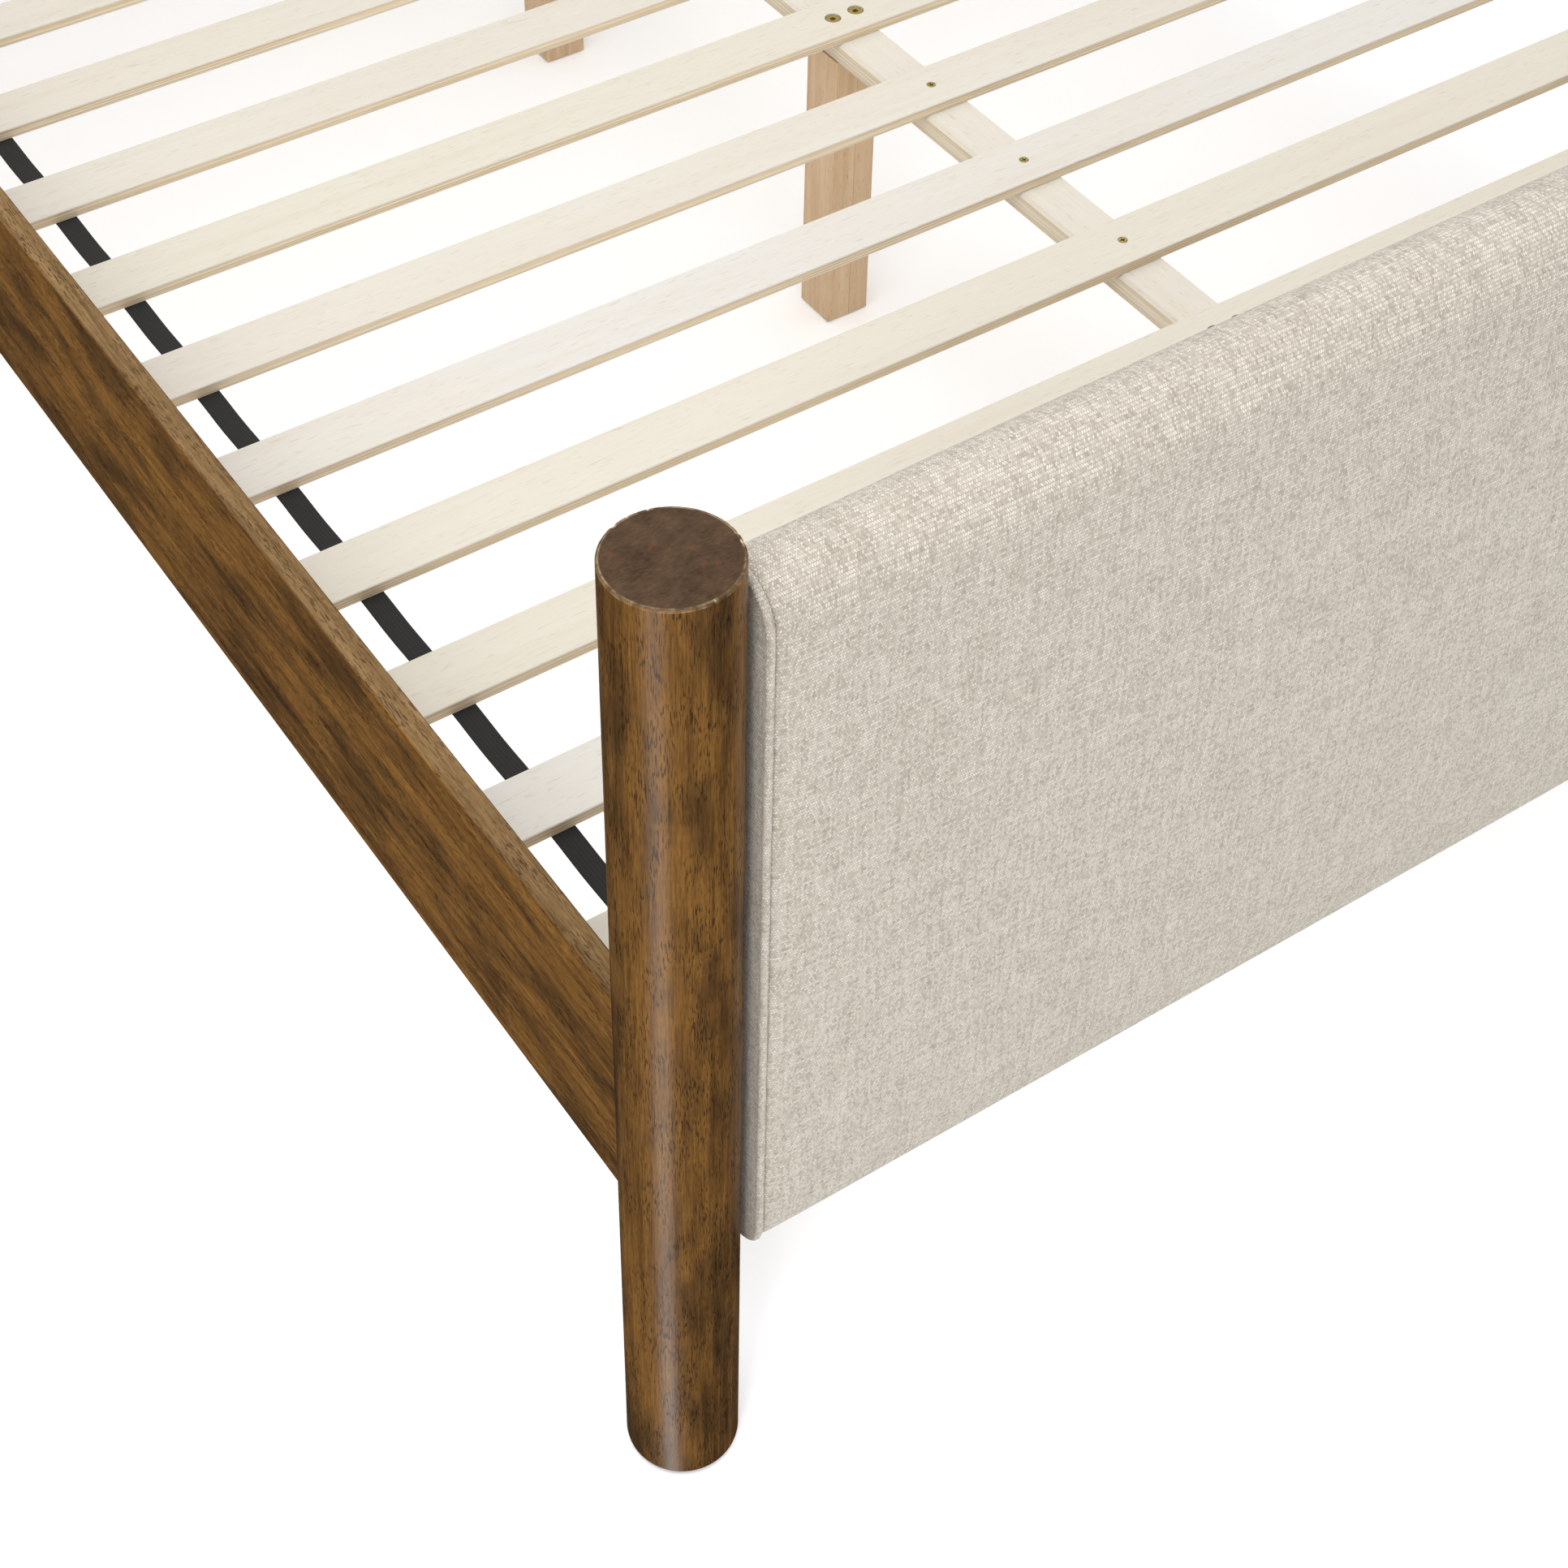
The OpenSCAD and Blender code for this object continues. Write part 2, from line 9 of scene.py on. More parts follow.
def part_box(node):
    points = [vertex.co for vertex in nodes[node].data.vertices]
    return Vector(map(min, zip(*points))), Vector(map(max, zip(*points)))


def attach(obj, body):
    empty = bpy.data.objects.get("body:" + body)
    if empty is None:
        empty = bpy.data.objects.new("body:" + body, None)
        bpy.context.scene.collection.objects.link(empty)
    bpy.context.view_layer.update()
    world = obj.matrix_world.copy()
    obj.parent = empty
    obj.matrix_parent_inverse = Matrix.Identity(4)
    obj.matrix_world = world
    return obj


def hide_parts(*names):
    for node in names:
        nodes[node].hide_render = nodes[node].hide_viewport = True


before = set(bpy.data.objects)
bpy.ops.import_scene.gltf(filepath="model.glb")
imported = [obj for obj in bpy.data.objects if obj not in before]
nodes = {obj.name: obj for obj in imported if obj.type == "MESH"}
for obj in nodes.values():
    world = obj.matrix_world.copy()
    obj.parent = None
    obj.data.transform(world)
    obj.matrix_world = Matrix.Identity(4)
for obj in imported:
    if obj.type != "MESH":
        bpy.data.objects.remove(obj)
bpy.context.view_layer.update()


# ---- Camera, floor and light ----
# The camera stands off the left foot corner, above the foot post, and looks down across the slats.
# The room is a plain pale floor under one wide ceiling light, with a tall soft light to the front left.

camera_data = bpy.data.cameras.new("camera")
camera = bpy.data.objects.new("camera", camera_data)
bpy.context.scene.collection.objects.link(camera)
bpy.context.scene.camera = camera
camera_data.sensor_width = 36
camera_data.lens = 66.95
camera_data.shift_x = 0.014
camera_data.shift_y = -0.15
camera_data.clip_end = 60

heading = math.radians(34.415)
pitch = math.radians(-43.28)
roll = math.radians(0.948)
ahead = Vector((math.sin(heading) * math.cos(pitch), math.cos(heading) * math.cos(pitch), math.sin(pitch)))
level = Vector((math.cos(heading), -math.sin(heading), 0))
over = level.cross(ahead)
right = level * math.cos(roll) + over * math.sin(roll)
up = over * math.cos(roll) - level * math.sin(roll)
stand = Matrix.Translation((-1.325, -1.928, 1.784))
camera.matrix_world = stand @ Matrix((right, up, -ahead)).transposed().to_4x4()


def srgb(red, green, blue):
    """A colour given from 0 to 255 as it looks on a screen, as the linear colour that a shader takes."""
    share = np.array((red, green, blue)) / 255
    linear = np.where(share <= 0.04045, share / 12.92, ((share + 0.055) / 1.055) ** 2.4)
    return tuple(float(c) for c in linear) + (1.0,)


class Wire:
    """One output of a material's node tree. Python's operators on it add Math nodes."""

    def __init__(self, tree, socket):
        self.tree = tree
        self.socket = socket

    def maths(self, operation, *terms, clamp=False):
        node = self.tree.nodes.new("ShaderNodeMath")
        node.operation = operation
        node.use_clamp = clamp
        for socket, term in zip(node.inputs, terms):
            if isinstance(term, Wire):
                self.tree.links.new(term.socket, socket)
            else:
                socket.default_value = term
        return Wire(self.tree, node.outputs[0])

    def __add__(self, other):
        return self.maths("ADD", self, other)

    def __radd__(self, other):
        return self.maths("ADD", other, self)

    def __sub__(self, other):
        return self.maths("SUBTRACT", self, other)

    def __rsub__(self, other):
        return self.maths("SUBTRACT", other, self)

    def __mul__(self, other):
        return self.maths("MULTIPLY", self, other)

    def __rmul__(self, other):
        return self.maths("MULTIPLY", other, self)

    def __truediv__(self, other):
        return self.maths("DIVIDE", self, other)

    def __rtruediv__(self, other):
        return self.maths("DIVIDE", other, self)

    def __pow__(self, other):
        return self.maths("POWER", self, other)

    def __abs__(self):
        return self.maths("ABSOLUTE", self)

    def sine(self):
        return self.maths("SINE", self)

    def floor(self):
        return self.maths("FLOOR", self)

    def most(self, other):
        return self.maths("MAXIMUM", self, other)

    def least(self, other):
        return self.maths("MINIMUM", self, other)

    def rise(self, low, high):
        """0 below low, 1 above high and a straight ramp between; falls instead where high is below low."""
        return self.maths("MULTIPLY", self - low, 1 / (high - low), clamp=True)

    def soft_rise(self, low, high):
        """The same with smooth ends: 3 t squared less 2 t cubed."""
        t = self.rise(low, high)
        return t * t * (3 - 2 * t)


class Graph:
    """A node tree that grows by node() and whose colours and vectors are worked out by the other methods."""

    def __init__(self, tree):
        self.tree = tree

    def node(self, kind, settings=(), output=0, **inputs):
        """Adds a node of that kind, sets it up, gives its sockets values or links, and returns one output."""
        node = self.tree.nodes.new(kind)
        for key, value in dict(settings).items():
            setattr(node, key, value)
        for name, value in inputs.items():
            socket = node.inputs[int(name[1:])] if name[0] == "_" else node.inputs[name.replace("_", " ")]
            self.feed(socket, value)
        return Wire(self.tree, node.outputs[output])

    def feed(self, socket, value):
        if isinstance(value, Wire):
            self.tree.links.new(value.socket, socket)
        else:
            socket.default_value = value

    def place(self, scale=(1, 1, 1), shift=(0, 0, 0)):
        """Object coordinates, scaled and then moved."""
        spot = self.node("ShaderNodeTexCoord", output="Object")
        return self.node("ShaderNodeMapping", Vector=spot, Location=shift, Scale=scale)

    def stretched(self, along, across, length, shift=0.0):
        """Object coordinates times across, but times length on the axis along (0, 1 or 2 for X, Y or Z)."""
        scale = [across] * 3
        scale[along] = length
        return self.place(scale, (shift, shift, shift))

    def cloth_place(self):
        """The piece's own UV map, which is in metres along the cloth."""
        return self.node("ShaderNodeUVMap", {"uv_map": "cloth"})

    def parts(self, vector):
        return [self.node("ShaderNodeSeparateXYZ", output=k, Vector=vector) for k in range(3)]

    def noise(self, vector, scale=1.0, detail=2.0, roughness=0.5, distortion=0.0):
        return self.node("ShaderNodeTexNoise", Vector=vector, Scale=scale, Detail=detail,
                         Roughness=roughness, Distortion=distortion)

    def tint(self, mask, low, high):
        """Colour low where mask is 0, high where it is 1."""
        return self.node("ShaderNodeMix", {"data_type": "RGBA"}, output=2, _0=mask, _6=low, _7=high)

    def shade(self, colour, factor):
        """Colour times a number, channel by channel."""
        return self.node("ShaderNodeVectorMath", {"operation": "SCALE"}, _0=colour, Scale=factor)

    def bump(self, height, distance, strength):
        return self.node("ShaderNodeBump", Height=height, Distance=distance, Strength=strength)


class Finish(Graph):
    """A material with one Principled shader, whose steady values are given by name."""

    def __init__(self, name, **constants):
        self.material = bpy.data.materials.new(name)
        self.material.use_nodes = True
        super().__init__(self.material.node_tree)
        self.shader = next(n for n in self.tree.nodes if n.type == "BSDF_PRINCIPLED")
        for socket, value in constants.items():
            self.shader.inputs[socket.replace("_", " ")].default_value = value

    def to_shader(self, **inputs):
        for name, value in inputs.items():
            self.feed(self.shader.inputs[name.replace("_", " ")], value)


floor_size = 30
floor_mesh = bpy.data.meshes.new("floor")
floor_mesh.from_pydata([(x * floor_size, y * floor_size, 0) for x, y in ((-1, -1), (1, -1), (1, 1), (-1, 1))],
                       [], [(0, 1, 2, 3)])
floor = bpy.data.objects.new("floor", floor_mesh)
bpy.context.scene.collection.objects.link(floor)
floor.visible_glossy = False
floor_finish = Finish("pale_floor", Roughness=0.9, Specular_IOR_Level=0.0, Emission_Strength=0.12)
floor_patch = floor_finish.noise(floor_finish.place(), scale=1.5, detail=2)
floor_finish.to_shader(Base_Color=floor_finish.tint(floor_patch, srgb(251, 251, 251), srgb(253, 253, 253)))
floor_mesh.materials.append(floor_finish.material)

# The dome is brightest overhead. Below the horizon, where only reflections look, it is dark
# but for one soft bright strip that lays a sheen along the posts.
world = bpy.data.worlds.new("studio")
bpy.context.scene.world = world
world.use_nodes = True
dome = Graph(world.node_tree)
toward = dome.node("ShaderNodeTexCoord", output="Object")
height = dome.parts(toward)[2]
flat = dome.node("ShaderNodeVectorMath", {"operation": "MULTIPLY"}, _0=toward, _1=(1, 1, 0))
flat = dome.node("ShaderNodeVectorMath", {"operation": "NORMALIZE"}, _0=flat)
strip_side = (-0.87, -0.49, 0)
strip = dome.node("ShaderNodeVectorMath", {"operation": "DOT_PRODUCT"}, output=1, _0=flat, _1=strip_side)
overhead = 0.6 + 1.1 * (height.most(0.0) ** 2.0)
below = 0.04 + 5.0 * strip.soft_rise(0.93, 0.999)
sky = height.rise(-0.02, 0.02)
glow = dome.shade((0.98, 0.99, 1.02), overhead * sky + below * (1 - sky))
dome.feed(world.node_tree.nodes["Background"].inputs["Color"], glow)
bpy.context.scene.view_settings.view_transform = "Standard"


def soft_light(name, place, target, width, height, watts):
    """A rectangular light at place, facing target."""
    data = bpy.data.lights.new(name, "AREA")
    data.shape = "RECTANGLE"
    data.size = width
    data.size_y = height
    data.energy = watts
    lamp = bpy.data.objects.new(name, data)
    bpy.context.scene.collection.objects.link(lamp)
    lamp.matrix_world = (Matrix.Translation(place)
                         @ (Vector(target) - Vector(place)).to_track_quat("-Z", "Y").to_matrix().to_4x4())


soft_light("ceiling", (-1.0, -1.2, 3.6), (0, 0, 0.3), 2.4, 2.0, 45)
soft_light("left_window", (-3.2, -3.2, 2.0), (-0.4, -0.6, 0.4), 0.8, 1.8, 38)


# ---- Round posts ----
# Four turned hardwood posts, stained walnut and lacquered; the stain is darker on the end grain.
# The top arris is lightly broken and worn to bare wood, and each post is slotted to take a rail's end.

post_columns = 224
slot_columns = 32
slot_wall = 5
slot_room = 0.00025
rail_seat = 0.012
post_ease_top = 0.0012
post_ease_foot = 0.004
glide_socket_r = 0.01525
glide_socket_deep = 0.0025
chip_deep = 0.0011
chip_waves = 46


def smooth_ring_noise(count, waves, seed):
    """A closed ring of count numbers from -1 to 1: a sum of whole waves with seeded sizes and starts."""
    rng = np.random.default_rng(seed)
    angle = np.linspace(0, 2 * np.pi, count, endpoint=False)
    wave = np.arange(1, waves + 1)
    size = rng.uniform(0.3, 1, waves)
    start = rng.uniform(0, 2 * np.pi, waves)
    ring = (size[:, None] * np.sin(wave[:, None] * angle + start[:, None])).sum(0)
    return ring / np.abs(ring).max()


def post_outlines(radius, half_slot, slot_floor):
    """Two outlines of a post as arrays of x and y, with as many points each and the slot facing +y.

    The first is the full circle. In the second the arc that faces +y is let in: down one wall at
    x = half_slot, along the floor at y = slot_floor, and up the other wall.
    """
    mouth = math.asin(half_slot / radius)
    arc = np.linspace(mouth, -mouth, slot_columns)
    rest = np.linspace(-mouth, mouth - 2 * np.pi, post_columns - slot_columns + 2)[1:-1]
    angle = np.concatenate([arc, rest])
    full = np.stack([radius * np.sin(angle), radius * np.cos(angle)], 1)
    wall = np.linspace(radius * math.cos(mouth), slot_floor, slot_wall)
    floor_x = np.linspace(half_slot, -half_slot, slot_columns - 2 * (slot_wall - 1))
    let_in = np.concatenate([
        np.stack([np.full(slot_wall - 1, half_slot), wall[:-1]], 1),
        np.stack([floor_x, np.full(len(floor_x), slot_floor)], 1),
        np.stack([np.full(slot_wall - 1, -half_slot), wall[:-1][::-1]], 1),
    ])
    slotted = full.copy()
    slotted[:slot_columns] = let_in
    return full, slotted


def closed_tube(rows):
    """Quads that join each row of points to the next, each row a closed ring: indices by row and column."""
    high, around = rows.shape[:2]
    index = np.arange(high * around).reshape(high, around)
    low, top = index[:-1], index[1:]
    return np.stack([low, np.roll(low, -1, 1), np.roll(top, -1, 1), top], 2).reshape(-1, 4)


def make_piece(name, points, faces, material, merge=None, sharp=35, attributes=(), cloth=None):
    """A named object at the origin from points in the bed's frame, with smooth faces and sharp arrises.

    attributes holds (name, one number per point); cloth holds one (u, v) per face corner, in metres.
    """
    mesh = bpy.data.meshes.new(name)
    mesh.from_pydata(np.asarray(points, float).reshape(-1, 3).tolist(), [], [list(f) for f in faces])
    for key, values in dict(attributes).items():
        layer = mesh.attributes.new(key, "FLOAT", "POINT")
        layer.data.foreach_set("value", np.asarray(values, np.float32).ravel())
    if cloth is not None:
        layer = mesh.uv_layers.new(name="cloth")
        layer.uv.foreach_set("vector", np.asarray(cloth, np.float32).ravel())
    if merge:
        work = bmesh.new()
        work.from_mesh(mesh)
        bmesh.ops.remove_doubles(work, verts=work.verts, dist=merge)
        bmesh.ops.recalc_face_normals(work, faces=work.faces)
        work.to_mesh(mesh)
        work.free()
    mesh.polygons.foreach_set("use_smooth", np.ones(len(mesh.polygons), bool))
    mesh.set_sharp_from_angle(angle=math.radians(sharp))
    mesh.materials.append(material)
    piece = bpy.data.objects.new(name, mesh)
    bpy.context.scene.collection.objects.link(piece)
    return piece


def walnut(name, along, top, lift=1.0, arris_from=None):
    """Stained and lacquered hardwood with its grain along X, Y or Z (0, 1 or 2).

    Long clouds of deeper stain, streaks and fibres follow the grain, with short dark pores in them.
    Above the height top the wood shows its upper face: end grain on a post, a paler edge on a rail, partly
    lighter stain and partly painted light from above.
    arris_from names the attribute that is 1 on an edge rubbed down to bare wood.
    """
    wood = Finish(name, Specular_IOR_Level=0.08, Coat_Roughness=0.25, Coat_IOR=1.5)
    cloud = wood.noise(wood.stretched(along, 24, 7), detail=4, roughness=0.6).soft_rise(0.43, 0.65)
    patch = wood.noise(wood.stretched(along, 10, 2.5, 4), detail=3, roughness=0.5).soft_rise(0.35, 0.65)
    streak = wood.noise(wood.stretched(along, 150, 6), detail=6, roughness=0.65,
                        distortion=0.4).rise(0.34, 0.66)
    fibre = wood.noise(wood.stretched(along, 800, 32), detail=4, roughness=0.7).rise(0.34, 0.66)
    curl = wood.noise(wood.stretched(along, 16, 130, 7), detail=3, roughness=0.5,
                      distortion=0.5).rise(0.56, 0.74)
    pore_room = wood.noise(wood.stretched(along, 90, 24, 2), detail=2).soft_rise(0.4, 0.58)
    pore = wood.noise(wood.stretched(along, 1500, 150), detail=0).rise(0.58, 0.64) * (0.3 + 0.7 * pore_room)
    tone = streak * 0.42 + fibre * 0.4 + patch * 0.14 + curl * 0.1
    brown = wood.tint(tone, srgb(57, 33, 5), srgb(138, 95, 36))
    brown = wood.tint(cloud * 0.76, brown, wood.tint(tone, srgb(32, 19, 4), srgb(72, 48, 18)))
    brown = wood.tint(pore * 0.66, brown, srgb(22, 12, 3))
    brown = wood.shade(brown, lift)
    face = wood.parts(wood.place())[2].rise(top - 0.0003, top - 0.0001)
    height = fibre * 0.3 + streak * 0.2 - pore * 0.9
    if along == 2:
        ray = wood.noise(wood.place(scale=(240, 800, 1)), detail=3, roughness=0.6).rise(0.3, 0.7)
        blot = wood.noise(wood.place(scale=(80, 80, 1)), detail=4, roughness=0.6).rise(0.3, 0.7)
        end = wood.tint(blot * 0.6 + ray * 0.4, srgb(46, 32, 20), srgb(86, 66, 48))
        red = wood.noise(wood.place(scale=(110, 110, 1), shift=(3, 1, 0)), detail=2).soft_rise(0.62, 0.76)
        brown = wood.tint(face, brown, wood.tint(red * 0.4, end, srgb(104, 58, 42)))
        height = height * (1 - face) + ray * 0.3 * face
    else:
        # A rail's upper face is paler: partly less stain, partly painted light from above.
        pale = wood.tint(tone, srgb(78, 54, 27), srgb(146, 117, 78))
        brown = wood.tint(face, brown, wood.tint(pore * 0.7, pale, srgb(56, 38, 20)))
    if arris_from is not None:
        worn = wood.node("ShaderNodeAttribute", {"attribute_name": arris_from}, output=2)
        rub = wood.noise(wood.place(scale=(200, 200, 200)), detail=3).rise(0.4, 0.62)
        brown = wood.tint((worn * (0.12 + 0.88 * rub)).least(1.0), brown, srgb(190, 166, 134))
    wood.to_shader(Base_Color=brown, Roughness=0.46 + 0.1 * fibre + 0.2 * pore, Coat_Weight=0.24 * (1 - face),
                   Normal=wood.bump(height, 0.0002, 0.5))
    return wood.material


rail_low, rail_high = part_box("side_rail_left")
rail_half = (rail_high.x - rail_low.x) / 2


def make_post(node, end, seed):
    """A post as rings joined upwards; end is -1 at the foot and +1 at the head, where the slot faces back."""
    low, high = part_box(node)
    centre = (low + high) / 2
    radius = (high.x - low.x) / 2
    full, slotted = post_outlines(radius, rail_half + slot_room, radius - rail_seat)
    unit = full / radius
    quarter = np.linspace(0, np.pi / 2, 6)
    socket_roof = low.z + glide_socket_deep
    rows = [(0, socket_roof, 0), (glide_socket_r, socket_roof, 0), (glide_socket_r, low.z, 0)]
    rows += [(radius - post_ease_foot * (1 - math.sin(a)), low.z + post_ease_foot * (1 - math.cos(a)), 0)
             for a in quarter]
    slot_rows = [(rail_low.z - 2 * slot_room, 0), (rail_low.z - 2 * slot_room, 1),
                 (rail_high.z + 2 * slot_room, 1), (rail_high.z + 2 * slot_room, 0)]
    rows += [(radius, z, cut) for z, cut in slot_rows]
    rows += [(radius, high.z - 0.004, 0), (radius, high.z - 0.002, 0)]
    rim = len(rows)
    rows += [(radius - post_ease_top * (1 - math.cos(a)), high.z - post_ease_top * (1 - math.sin(a)), 0)
             for a in quarter]
    rim_end = len(rows)
    rows += [(radius - 0.0022, high.z, 0), (radius * 0.6, high.z, 0), (0, high.z, 0)]
    points = np.zeros((len(rows), post_columns, 3))
    worn = np.zeros((len(rows), post_columns))
    chip = np.clip(smooth_ring_noise(post_columns, chip_waves, seed) - 0.3, 0, None) * chip_deep
    for k, (r, z, cut) in enumerate(rows):
        ring = slotted if cut else unit * r
        points[k, :, :2] = ring
        points[k, :, 2] = z
    for k in range(rim, rim_end):
        points[k, :, :2] -= unit * chip[:, None] * 0.8
        points[k, :, 2] -= chip * 0.7
    worn[rim:rim_end] = 0.15
    worn[rim] = 0.4
    worn[rim_end - 1] = 0.5
    worn[rim:rim_end] += np.clip(chip / chip.max() * 1.6 - 0.4, 0, 1) * 0.8
    points[:, :, 1] *= -end
    points += np.array([centre.x, centre.y, 0])
    finish = walnut("walnut_" + node, 2, high.z, lift=0.96, arris_from="worn")
    piece = make_piece(node + "_turned", points, closed_tube(points), finish,
                       merge=1e-6, sharp=32, attributes={"worn": worn})
    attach(piece, "root")
    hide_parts(node)


make_post("foot_post_left", -1, seed=11)
make_post("foot_post_right", -1, seed=12)
make_post("head_post_left", 1, seed=13)
make_post("head_post_right", 1, seed=14)


# ---- Side rails and ledgers ----
# Each rail is one stained board let into the posts; its top edge is paler, partly because it took less stain
# and partly as painted light from above.
# A plain pine ledger is screwed along its inside to carry the slats.

def dress(node, material):
    """Gives a CAD node its material."""
    piece = nodes[node]
    if not piece.material_slots:
        piece.data.materials.append(None)
    for holder in piece.material_slots:
        holder.material = material


rail_finish = walnut("walnut_rail", 1, rail_high.z, lift=1.2)
for node in ("side_rail_left", "side_rail_right"):
    dress(node, rail_finish)


def pine(name, along, pale=(226, 204, 168), deep=(196, 164, 120)):
    """Planed softwood with its grain along X, Y or Z (0, 1 or 2)."""
    wood = Finish(name, Specular_IOR_Level=0.3)
    grain = wood.noise(wood.stretched(along, 60, 2.5), detail=4, roughness=0.55, distortion=0.4)
    fibre = wood.noise(wood.stretched(along, 900, 40), detail=3)
    tone = grain.rise(0.3, 0.7) * 0.7 + fibre.rise(0.3, 0.7) * 0.3
    wood.to_shader(Base_Color=wood.tint(tone, srgb(*deep), srgb(*pale)), Roughness=0.6 + 0.15 * fibre,
                   Normal=wood.bump(fibre + grain, 0.0002, 0.5))
    return wood.material


pine_y = pine("pine_along_bed", 1)
pine_x = pine("pine_across_bed", 0)
pine_z = pine("pine_upright", 2)
for node in ("ledger_left", "ledger_right"):
    dress(node, pine_y)


# ---- Slats ----
# Fifteen laminated poplar slats, 53 by 10 mm: pale veneer over darker core plies that show on the edges.
# They lie on the ledgers and are screwed to the centre beam.

slat_low, slat_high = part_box("slat_01")


def laminate(name, along, z_top, thick, plies, first, pitch, core_share):
    """A glued-up strip: pale veneer on its flat faces, core plies and glue lines by height on its edges.

    first and pitch are the place along Y and the spacing of the strips, each of which has a tint of its own.
    """
    wood = Finish(name, Specular_IOR_Level=0.25)
    cloud = wood.noise(wood.stretched(along, 14, 3), detail=3).soft_rise(0.38, 0.62)
    band = wood.noise(wood.stretched(along, 60, 1.6), detail=5, roughness=0.6, distortion=0.6).rise(0.46, 0.7)
    fibre = wood.noise(wood.stretched(along, 900, 30), detail=3, roughness=0.6)
    fleck = wood.noise(wood.stretched(along, 700, 90, 3), detail=0).rise(0.72, 0.78)
    _, y, z = wood.parts(wood.place())
    which = ((y - first) / pitch + 0.5).floor()
    own = wood.node("ShaderNodeTexWhiteNoise", {"noise_dimensions": "1D"}, output=0, W=which)
    veneer = wood.tint(own, srgb(204, 200, 192), srgb(203, 197, 181))
    veneer = wood.tint(cloud * 0.4, veneer, srgb(203, 194, 179))
    veneer = wood.tint(band * 0.3, veneer, srgb(194, 182, 162))
    veneer = wood.tint(fibre.rise(0.45, 0.75) * 0.14, veneer, srgb(170, 150, 122))
    veneer = wood.tint(fleck * 0.2, veneer, srgb(150, 122, 94))
    wobble = wood.noise(wood.stretched(along, 40, 8), detail=4) - 0.5
    depth = (z_top - z) / thick * plies + wobble * 0.3
    inner = depth.rise(0.5, 0.7) * (plies - depth).rise(0.5, 0.7)
    within = abs(depth - depth.floor() - 0.5)
    glue = within.rise(0.36, 0.46) * wood.noise(wood.stretched(along, 120, 5, 6), detail=2).rise(0.42, 0.6)
    which_ply = wood.node("ShaderNodeTexWhiteNoise", {"noise_dimensions": "1D"}, output=0,
                          W=depth.floor() + which * 7)
    core = wood.tint(which_ply, srgb(206, 186, 152), srgb(228, 212, 184))
    core = wood.tint(fibre.rise(0.4, 0.7) * 0.3, core, srgb(176, 148, 108))
    core = wood.tint(glue * 0.7, core, srgb(134, 100, 66))
    wood.to_shader(Base_Color=wood.tint(inner * core_share, veneer, core), Roughness=0.55 + 0.2 * fibre,
                   Normal=wood.bump(fibre * 0.5 + band * 0.3 - glue * inner * 0.8, 0.0002, 0.5))
    return wood.material


slat_names = sorted(n for n in nodes if n.startswith("slat_") and n != "slat_screws")
slat_y = np.array([(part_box(n)[0].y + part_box(n)[1].y) / 2 for n in slat_names])
slat_finish = laminate("slat_laminate", 0, slat_high.z, slat_high.z - slat_low.z, 4,
                       float(slat_y[0]), float(slat_y[1] - slat_y[0]), 0.95)
for node in slat_names:
    dress(node, slat_finish)


# ---- Webbing under the slats ----
# A black polypropylene strap near each rail holds the slats at their spacing, stapled under each one.
# Each is one flat ribbon in herringbone weave, a little slack between slats.

strap_rows = 12
strap_sag = 0.0012


def herringbone(name):
    """Black webbing: rows of slanting yarns whose slope turns over at each band across the width."""
    weave = Finish(name, Roughness=0.62, Specular_IOR_Level=0.25, Sheen_Weight=0.08, Sheen_Roughness=0.5)
    bands_per_mm = 0.36
    yarn_turn = 2.4
    x, y, _ = weave.parts(weave.place(scale=(1000, 1000, 1000)))
    band = x * bands_per_mm
    fold = abs(band - band.floor() - 0.5) / bands_per_mm
    yarn = abs(((y + fold) * yarn_turn).sine())
    rib = abs((x * yarn_turn).sine())
    speck = weave.noise(weave.place(scale=(900, 900, 900)), detail=2)
    colour = weave.tint(yarn * 0.6 + speck * 0.4, srgb(7, 7, 6), srgb(33, 32, 29))
    weave.to_shader(Base_Color=colour, Normal=weave.bump(yarn * 0.7 + rib * 0.3, 0.0003, 0.8))
    return weave.material


webbing = herringbone("black_webbing")


def make_strap(node):
    """A flat ribbon with round edges, swept along Y, that hangs down a little between the slats."""
    low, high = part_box(node)
    width, thick = high.x - low.x, high.z - low.z
    pitch = abs(slat_y[1] - slat_y[0])
    slat_half = (slat_high.y - slat_low.y) / 2
    y = np.linspace(low.y, high.y, 600)
    away = np.abs((y - slat_y[0] + pitch / 2) % pitch - pitch / 2)
    free = np.clip((away - slat_half) / (pitch / 2 - slat_half), 0, 1)
    drop = strap_sag * np.sin(free * np.pi / 2) ** 2
    turn = np.linspace(0, np.pi, strap_rows)
    side = np.stack([width / 2 - thick / 2 + thick / 2 * np.sin(turn), thick / 2 * np.cos(turn)], 1)
    flat = np.linspace(-1, 1, 9)[1:-1, None] * [width / 2 - thick / 2, 0]
    outline = np.concatenate([side, -flat + [0, -thick / 2], -side, flat + [0, thick / 2]])
    points = np.zeros((len(y), len(outline), 3))
    points[:, :, 0] = outline[:, 0] + (low.x + high.x) / 2
    points[:, :, 1] = y[:, None]
    points[:, :, 2] = outline[:, 1] + (low.z + high.z) / 2 - drop[:, None]
    faces = [tuple(f) for f in closed_tube(points)]
    count = len(outline)
    faces += [tuple(range(count))[::-1], tuple(range((len(y) - 1) * count, len(y) * count))]
    piece = make_piece(node + "_webbing", points, faces, webbing, merge=1e-7, sharp=50)
    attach(piece, "root")
    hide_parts(node)


make_strap("strap_left")
make_strap("strap_right")


# ---- Centre beam and legs ----
# A laminated beam with broken edges runs under the slats on three square birch legs.
# A bracket at each end panel carries its ends, and bolts through slat and beam hold the legs.

beam_low, beam_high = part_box("centre_beam")
beam_finish = laminate("beam_laminate", 1, beam_high.z, beam_high.z - beam_low.z, 6, 0.0, 10.0, 0.6)
dress("centre_beam", beam_finish)


